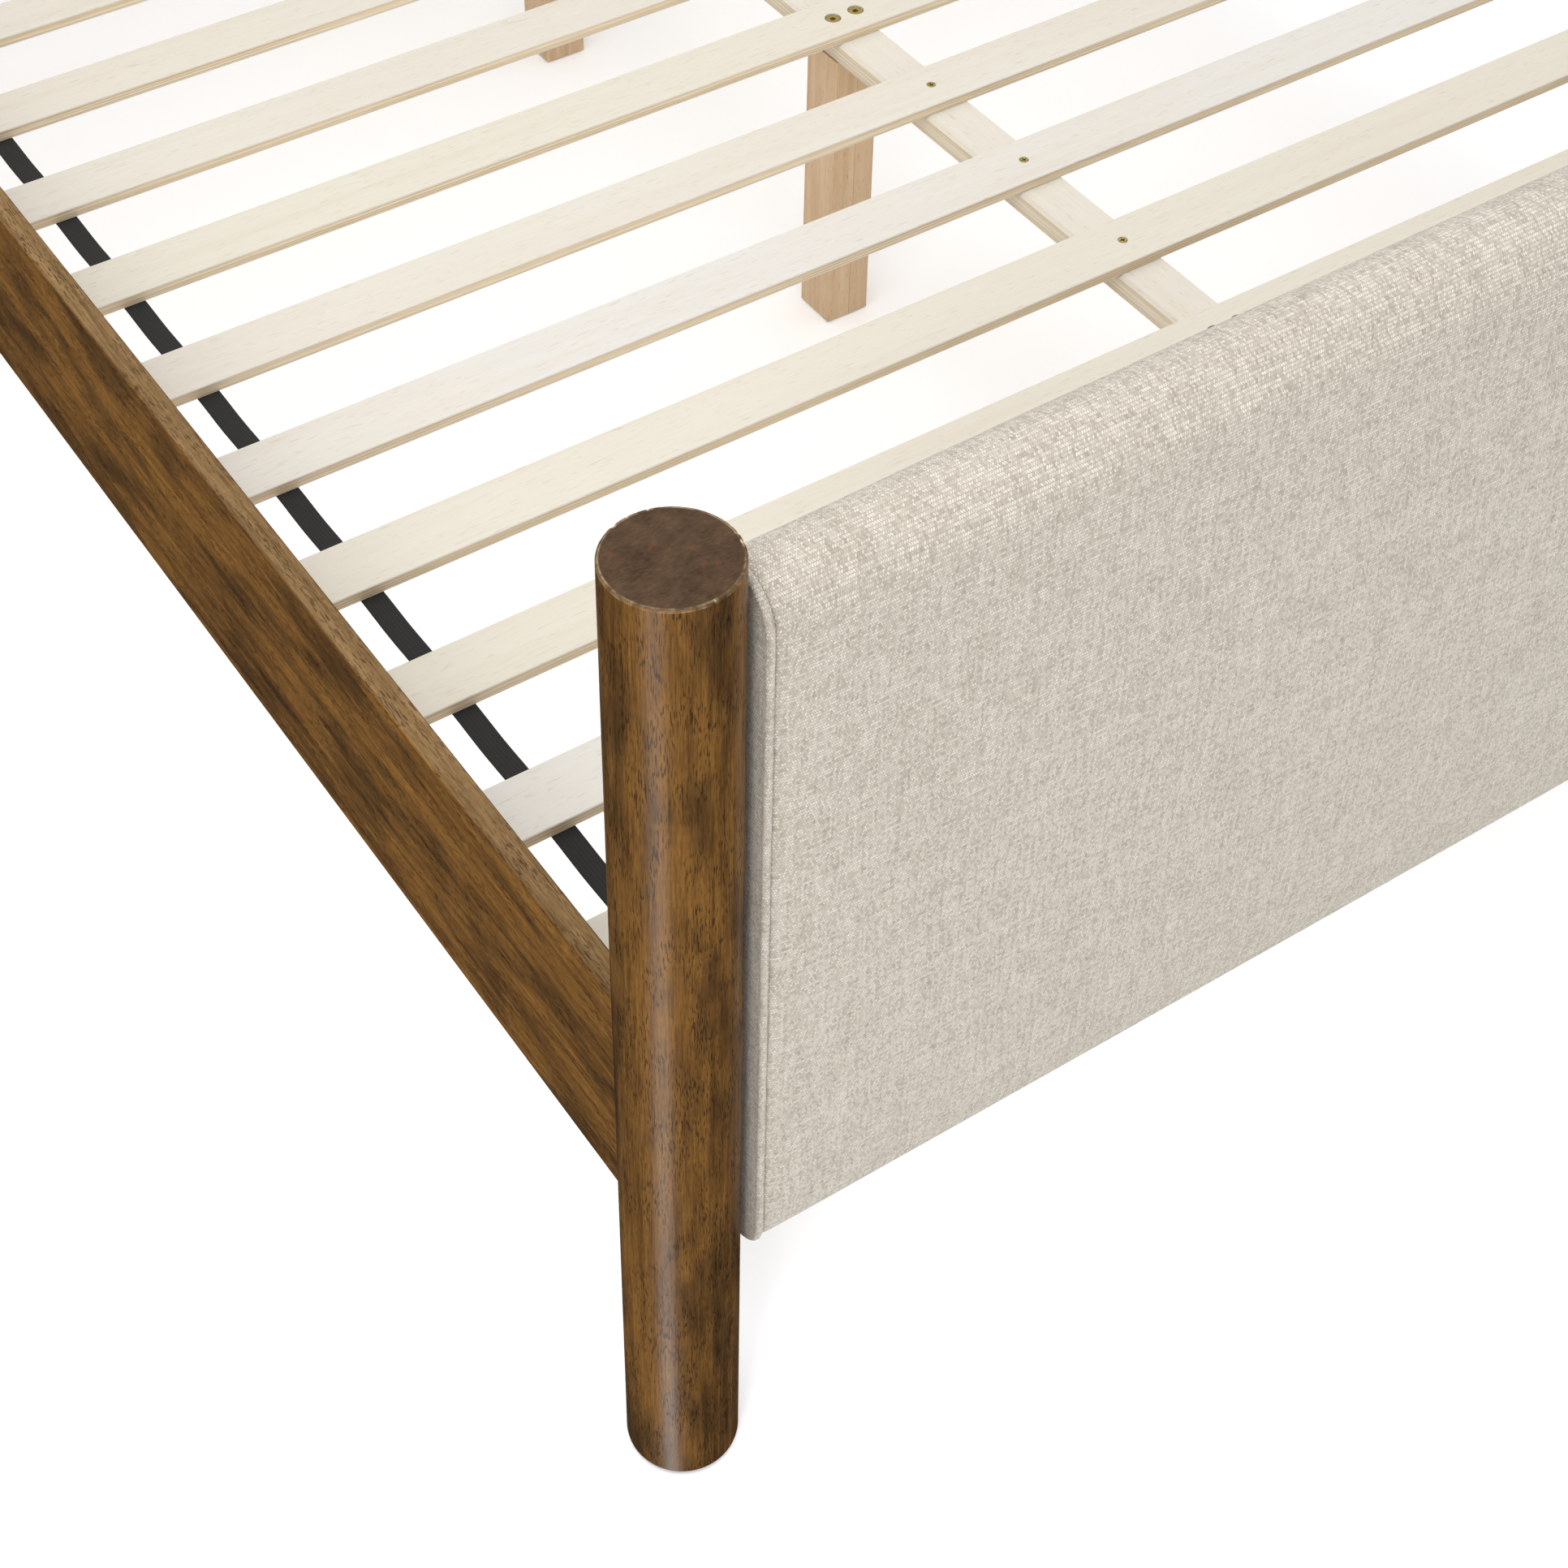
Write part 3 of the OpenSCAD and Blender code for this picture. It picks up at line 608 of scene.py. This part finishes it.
def birch(name):
    """Square birch leg glued up from two pieces, with upright grain."""
    wood = Finish(name, Specular_IOR_Level=0.35)
    spot = wood.place()
    x = wood.parts(spot)[0]
    half = x.rise(0.0012, 0.0016)
    grain = wood.noise(wood.place(scale=(85, 85, 3.2)), detail=4, roughness=0.6, distortion=0.5)
    fibre = wood.noise(wood.place(scale=(1000, 1000, 45)), detail=3)
    pore = wood.noise(wood.place(scale=(1300, 1300, 110)), detail=1).rise(0.64, 0.72)
    tone = grain.rise(0.3, 0.7) * 0.65 + fibre.rise(0.3, 0.7) * 0.35
    colour = wood.tint(tone, srgb(196, 162, 124), srgb(222, 197, 164))
    colour = wood.tint(half * 0.4, colour, srgb(206, 176, 140))
    seam = 1 - abs(x - 0.0014).rise(0.0002, 0.0005)
    colour = wood.tint(seam * 0.5, colour, srgb(150, 112, 76))
    colour = wood.tint(pore * 0.4, colour, srgb(150, 110, 74))
    wood.to_shader(Base_Color=colour, Roughness=0.55 + 0.15 * fibre,
                   Normal=wood.bump(fibre - pore, 0.0002, 0.5))
    return wood.material


birch_leg = birch("birch_leg")
for k in (1, 2, 3):
    dress(f"centre_leg_{k}", birch_leg)


# ---- Fasteners, brackets and glides ----
# Yellow-zinc screws and bolts hold the deck, bright zinc ones the rails and panels; the glides are nylon.
# All keep their CAD shapes.

def plated(name, low, high, roughness, metallic=1.0):
    """Plated steel, a little uneven in tone and dulled in patches."""
    metal = Finish(name, Metallic=metallic)
    patch = metal.noise(metal.place(scale=(900, 900, 900)), detail=3)
    metal.to_shader(Base_Color=metal.tint(patch.rise(0.3, 0.7), srgb(*low), srgb(*high)),
                    Roughness=roughness + 0.2 * patch, Normal=metal.bump(patch, 0.00005, 0.4))
    return metal.material


yellow_zinc = plated("yellow_zinc", (128, 108, 58), (206, 184, 120), 0.26)
bright_zinc = plated("bright_zinc", (150, 152, 156), (206, 208, 212), 0.24)
black_coat = plated("black_coated_steel", (28, 28, 30), (44, 44, 46), 0.45, metallic=0.0)
nylon = plated("dark_nylon", (50, 46, 42), (70, 65, 60), 0.5, metallic=0.0)
for node in ("slat_screws", "leg_bolts", "leg_inserts", "bracket_screws", "ledger_screws"):
    dress(node, yellow_zinc)
for node in ("strap_staples", "panel_bolts", "rail_bolts", "rail_washers", "rail_nuts"):
    dress(node, bright_zinc)
for node in ("foot_beam_bracket", "head_beam_bracket"):
    dress(node, black_coat)
dress("floor_glides", nylon)


# ---- Timber frames inside the end panels ----
# Stiles, rails and a stud of pine under a sheet of plywood on each face.
# Bolts through the stiles hold each panel between its posts.

for end in ("foot", "head"):
    for part in ("stile_left", "stile_right", "stud"):
        dress(f"{end}_{part}", pine_z)
    for part in ("top_rail", "bottom_rail"):
        dress(f"{end}_{part}", pine_x)
sheet_finish = pine("poplar_sheet", 0, pale=(232, 212, 176), deep=(208, 180, 138))
for end in ("foot", "head"):
    dress(f"{end}_plywood", sheet_finish)


# ---- Upholstery of the end panels ----
# A foam core is wrapped in one piece of oatmeal basket-weave cloth that runs over the top and under the
# bottom. It is sewn at each side to a pill-shaped band, whose seam stands up as a narrow welt.

welt_room = 0.001
welt_r = 0.0027
weave_u = 0.0015
weave_v = 0.0022
cloth_thick = 0.0014
cloth_swell = (0.0005, 0.0055, 0.008)
cloth_cap = 0.003
foam_swell = (0.0004, 0.0053, 0.0078)
sim_frames = 20


def oatmeal_cloth(name):
    """Textured basket weave by the cloth's own coordinates, in metres.

    Rows of short stitches are set half a stitch apart, each leaning the other way from the row below.
    Every stitch has a shade of its own, yarns are darker or paler along part of their length, and some
    of the gaps where stitches meet are dark.
    """
    cloth = Finish(name, Roughness=0.9, Specular_IOR_Level=0.15, Sheen_Weight=0.12, Sheen_Roughness=0.5)
    place = cloth.cloth_place()
    aside = cloth.node("ShaderNodeMapping", Vector=place, Location=(5, 3, 0))
    u, v, _ = cloth.parts(place)
    across = u / weave_u + (cloth.noise(place, scale=90, detail=2) - 0.5) * 0.25
    along = v / weave_v + (cloth.noise(aside, scale=90, detail=2) - 0.5) * 0.25
    row = along.floor()
    lean = (row * 0.5 - (row * 0.5).floor()) * 4 - 1
    in_row = along - row - 0.5
    shifted = across + row * 0.5 + in_row * lean * 0.5
    column = shifted.floor()
    in_column = shifted - column - 0.5
    stitch = cloth.node("ShaderNodeCombineXYZ", X=column, Y=row, Z=1.0)
    own = cloth.node("ShaderNodeTexWhiteNoise", {"noise_dimensions": "3D"}, output=0, Vector=stitch)
    gap = (abs(in_column) * 2).rise(0.5, 0.98).most((abs(in_row) * 2).rise(0.62, 1.0))
    hole = (abs(in_column) * 2).rise(0.45, 0.95) * (abs(in_row) * 2).rise(0.35, 0.9) * own.rise(0.5, 0.9)
    weft_yarn = cloth.noise(cloth.node("ShaderNodeCombineXYZ", X=u * 36, Y=row * 3.7, Z=2.0), detail=1)
    warp = (u / weave_u).floor()
    warp_yarn = cloth.noise(cloth.node("ShaderNodeCombineXYZ", X=warp * 3.1, Y=v * 27, Z=7.0), detail=2)
    fuzz = cloth.noise(place, scale=2400, detail=2, roughness=0.7)
    tone = (own * 0.5 + weft_yarn.rise(0.35, 0.65) * 0.15 + warp_yarn.rise(0.35, 0.65) * 0.21
            + (fuzz - 0.5) * 0.3)
    colour = cloth.tint(tone, srgb(152, 144, 129), srgb(228, 221, 209))
    colour = cloth.tint(gap * 0.42, colour, srgb(146, 134, 117))
    colour = cloth.tint(hole * 0.85, colour, srgb(92, 79, 63))
    height = (1 - gap) * 0.7 + fuzz * 0.3 - hole * 0.3
    cloth.to_shader(Base_Color=colour, Normal=cloth.bump(height, 0.0005, 0.7))
    return cloth.material


oatmeal = oatmeal_cloth("oatmeal_basket_weave")


def pill_outline(half_y, z0, z1, flat_step, arc_steps):
    """Points y, z round a pill with half-round ends, from the foot of its front face, with their outward
    normals and their distance along the outline. The front faces -Y."""
    r = half_y
    flats = max(2, round((z1 - z0 - 2 * r) / flat_step))
    rise = np.linspace(z0 + r, z1 - r, flats, endpoint=False)
    turn = np.linspace(0, np.pi, arc_steps, endpoint=False)
    y = np.concatenate([np.full(flats, -r), -r * np.cos(turn), np.full(flats, r), r * np.cos(turn)])
    fall = rise[::-1] + (rise[1] - rise[0])
    z = np.concatenate([rise, z1 - r + r * np.sin(turn), fall, z0 + r - r * np.sin(turn)])
    ny = np.concatenate([np.full(flats, -1.0), -np.cos(turn), np.full(flats, 1.0), np.cos(turn)])
    nz = np.concatenate([np.zeros(flats), np.sin(turn), np.zeros(flats), -np.sin(turn)])
    step = np.hypot(np.diff(y, append=y[0]), np.diff(z, append=z[0]))
    run = np.concatenate([[0], np.cumsum(step)])
    return y, z, ny, nz, run


def panel_columns(half):
    """Places across a panel: close together by the side seams, 12 mm apart over the middle."""
    edge = np.array([0, 0.0004, 0.001, 0.0019, 0.0032, 0.0052, 0.008, 0.012, 0.018, 0.027, 0.038])
    middle = np.linspace(-half + 0.05, half - 0.05, round((2 * half - 0.1) / 0.012) + 1)
    return np.concatenate([-half + edge, middle, (half - edge)[::-1]])


def crown(x, half, ny, nz, z_share, swell):
    """How far the padding stands out along the normal: a parabola across, most on the front and underside.

    It is nothing at the side seams, swell[0] at the middle of the front and underside, and swell[1]
    at the middle of the back and top, with a further share of swell[2] at mid height.
    """
    across = 1 - (x / half) ** 2
    front = np.clip((-0.8 * ny - 0.6 * nz + 0.75) / 1.5, 0, 1)
    front = front * front * (3 - 2 * front)
    tall = 4 * z_share * (1 - z_share)
    return across * (swell[1] + (swell[0] - swell[1]) * front + swell[2] * tall * (0.5 + 0.5 * front))


def seam_roll(x, half, run, seed):
    """The cloth by a side seam: it dives round into the groove beside the welt, and small puckers
    that start there soon die out."""
    inside = half - np.abs(x)
    dive = -0.0046 * (1 - np.clip(inside / 0.0075, 0, 1)) ** 2.2
    pucker = 0.0003 * np.exp(-inside / 0.02) * (np.sin(run / 0.0037 + seed) + np.sin(run / 0.0059 + 2 * seed))
    return dive + pucker * np.clip(inside / 0.004, 0, 1)


def panel_grid(node, inset, swell, seed, flat_step=0.012, arc_steps=18):
    """A panel's padded surface as points by column across and place round the outline, with cloth
    coordinates: x and the distance round the outline."""
    low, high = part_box(node)
    half_y = (high.y - low.y) / 2
    y, z, ny, nz, run = pill_outline(half_y, low.z, high.z, flat_step, arc_steps)
    half = high.x - welt_room
    x = panel_columns(half)[:, None]
    z_share = (z - low.z) / (high.z - low.z)
    out = crown(x, half, ny, nz, z_share, swell) + seam_roll(x, half, run[:-1], seed) - inset
    points = np.zeros((x.shape[0], len(y), 3))
    points[:, :, 0] = x
    points[:, :, 1] = (low.y + high.y) / 2 + y + ny * out
    points[:, :, 2] = z + nz * out
    normal = np.zeros_like(points)
    normal[:, :, 1] = ny
    normal[:, :, 2] = nz
    return points, normal, x[:, 0], run


def grid_cloth(x, run):
    """The cloth coordinates of each corner of the quads that closed_tube makes."""
    u0, u1 = x[:-1], x[1:]
    v0, v1 = run[:-1], run[1:]
    around = ((u0, v0), (u0, v1), (u1, v1), (u1, v0))
    return np.stack([np.stack(np.meshgrid(u, v, indexing="ij"), -1) for u, v in around], 2)


def inflate(piece, pinned, rest, outward, cap):
    """Runs Cloth on the piece with pressure and no gravity, and keeps only movement along the outward
    direction, up to cap."""
    group = piece.vertex_groups.new(name="sewn")
    group.add([int(k) for k in np.flatnonzero(pinned)], 1.0, "REPLACE")
    modifier = piece.modifiers.new("swell", "CLOTH")
    settings = modifier.settings
    settings.vertex_group_mass = "sewn"
    settings.quality = 5
    settings.mass = 0.25
    settings.tension_stiffness = 12
    settings.compression_stiffness = 12
    settings.shear_stiffness = 6
    settings.bending_stiffness = 0.8
    settings.use_pressure = True
    settings.uniform_pressure_force = 4
    settings.effector_weights.gravity = 0
    settings.shrink_min = -0.004
    modifier.collision_settings.use_collision = False
    modifier.point_cache.frame_start = 1
    modifier.point_cache.frame_end = sim_frames
    for step in range(1, sim_frames + 1):
        bpy.context.scene.frame_set(step)
    shaped = piece.evaluated_get(bpy.context.evaluated_depsgraph_get()).data
    moved = np.zeros(len(shaped.vertices) * 3)
    shaped.vertices.foreach_get("co", moved)
    travel = ((moved.reshape(-1, 3) - rest) * outward).sum(1)
    travel = np.clip(travel, 0, None)
    travel = cap * (1 - np.exp(-travel / cap))
    piece.modifiers.remove(modifier)
    piece.vertex_groups.remove(group)
    piece.data.vertices.foreach_set("co", (rest + outward * travel[:, None]).ravel())
    piece.data.update()
    bpy.context.scene.frame_set(1)


def make_cover(end, swell, cap, seed):
    """The cloth round a panel: the padded grid, swollen by cloth simulation and given its thickness."""
    node = end + "_cover"
    points, normal, x, run = panel_grid(node, 0.0, swell, seed)
    piece = make_piece(end + "_upholstery", points, closed_tube(points)[:, ::-1], oatmeal, sharp=80,
                       cloth=grid_cloth(x, run)[:, :, ::-1])
    rest = points.reshape(-1, 3)
    pinned = np.zeros(points.shape[:2], bool)
    pinned[:6] = True
    pinned[-6:] = True
    pinned |= normal[:, :, 2] < -0.4
    inflate(piece, pinned.ravel(), rest, normal.reshape(-1, 3), cap)
    wall = piece.modifiers.new("cloth_thickness", "SOLIDIFY")
    wall.thickness = cloth_thick
    wall.offset = -1
    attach(piece, "root")
    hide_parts(node)


make_cover("foot", cloth_swell, cloth_cap, seed=0.7)
make_cover("head", cloth_swell, cloth_cap, seed=2.1)


def make_bands(end, seed):
    """Two pill-shaped bands, left and right: a flat padded face, a rolled edge and a standing welt."""
    node = end + "_side_bands"
    low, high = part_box(node)
    half_y = (high.y - low.y) / 2
    y, z, ny, nz, run = pill_outline(half_y, low.z, high.z, 0.008, 20)
    face = high.x
    welt = [(face - 0.003 + welt_r * math.cos(a), -0.0012 + welt_r * math.sin(a))
            for a in np.linspace(math.radians(208), math.radians(-25), 12)]
    profile = [(face - 0.003, -half_y), (face - 0.003, -0.009),
               (face - 0.0034, -0.0065), (face - 0.005, -0.0042)]
    profile += welt
    profile += [(face - 0.0005, -0.0034), (face - 0.00045, -0.0044), (face - 0.0003, -0.0062),
                (face - 0.0001, -0.0085), (face, -0.012), (face, -0.018), (face, -half_y)]
    depth = np.concatenate([[0], np.cumsum(np.hypot(*np.diff(np.array(profile), axis=0).T))])
    for side, tag in ((-1, "left"), (1, "right")):
        points = np.zeros((len(profile), len(y), 3))
        for k, (across, offset) in enumerate(profile):
            squeeze = half_y + offset
            core_z = np.clip(z, low.z + half_y, high.z - half_y)
            ripple = 0.00016 * np.sin(run[:-1] / 0.0042 + seed) * (0.002 > abs(offset))
            points[k, :, 0] = side * across
            points[k, :, 1] = (low.y + high.y) / 2 + ny * (squeeze + ripple)
            points[k, :, 2] = core_z + nz * (squeeze + ripple)
        faces = closed_tube(points)
        uv = grid_cloth(depth, run)
        if side > 0:
            faces, uv = faces[:, ::-1], uv[:, :, ::-1]
        piece = make_piece(f"{end}_side_band_{tag}", points, faces, oatmeal, merge=1e-6, sharp=120, cloth=uv)
        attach(piece, "root")
        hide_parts(node)


make_bands("foot", seed=0.3)
make_bands("head", seed=1.3)


def foam_finish(name):
    """Cut polyurethane foam: pale and matt with fine open cells."""
    foam = Finish(name, Roughness=0.95, Specular_IOR_Level=0.1)
    cell = foam.noise(foam.place(scale=(1400, 1400, 1400)), detail=2)
    cloud = foam.noise(foam.place(scale=(20, 20, 20)), detail=2)
    foam.to_shader(Base_Color=foam.tint(cell * 0.6 + cloud * 0.4, srgb(226, 220, 196), srgb(248, 245, 230)),
                   Normal=foam.bump(cell, 0.0006, 0.7))
    return foam.material


cut_foam = foam_finish("cut_foam")


def make_foam(end, swell, seed):
    """The foam wrap: the padded surface a little inside the cloth, hollowed to take the timber frame."""
    node = end + "_foam"
    points, _, x, run = panel_grid(node, 0.0004, swell, seed, flat_step=0.03, arc_steps=12)
    core_low, core_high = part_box(end + "_plywood")
    room = 0.0003
    middle_y = (core_low.y + core_high.y) / 2
    half_y = (core_high.y - core_low.y) / 2 + room
    low_z, high_z = core_low.z - room, core_high.z + room
    inner = points.copy()
    inner[:, :, 1] = np.clip(points[:, :, 1], middle_y - half_y, middle_y + half_y)
    inner[:, :, 2] = np.clip(points[:, :, 2], low_z, high_z)
    rings = np.concatenate([points, inner[::-1], points[:1]])
    piece = make_piece(end + "_foam_wrap", rings, closed_tube(rings)[:, ::-1], cut_foam, merge=1e-6, sharp=40)
    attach(piece, "root")
    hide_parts(node)


make_foam("foot", foam_swell, seed=0.7)
make_foam("head", foam_swell, seed=2.1)
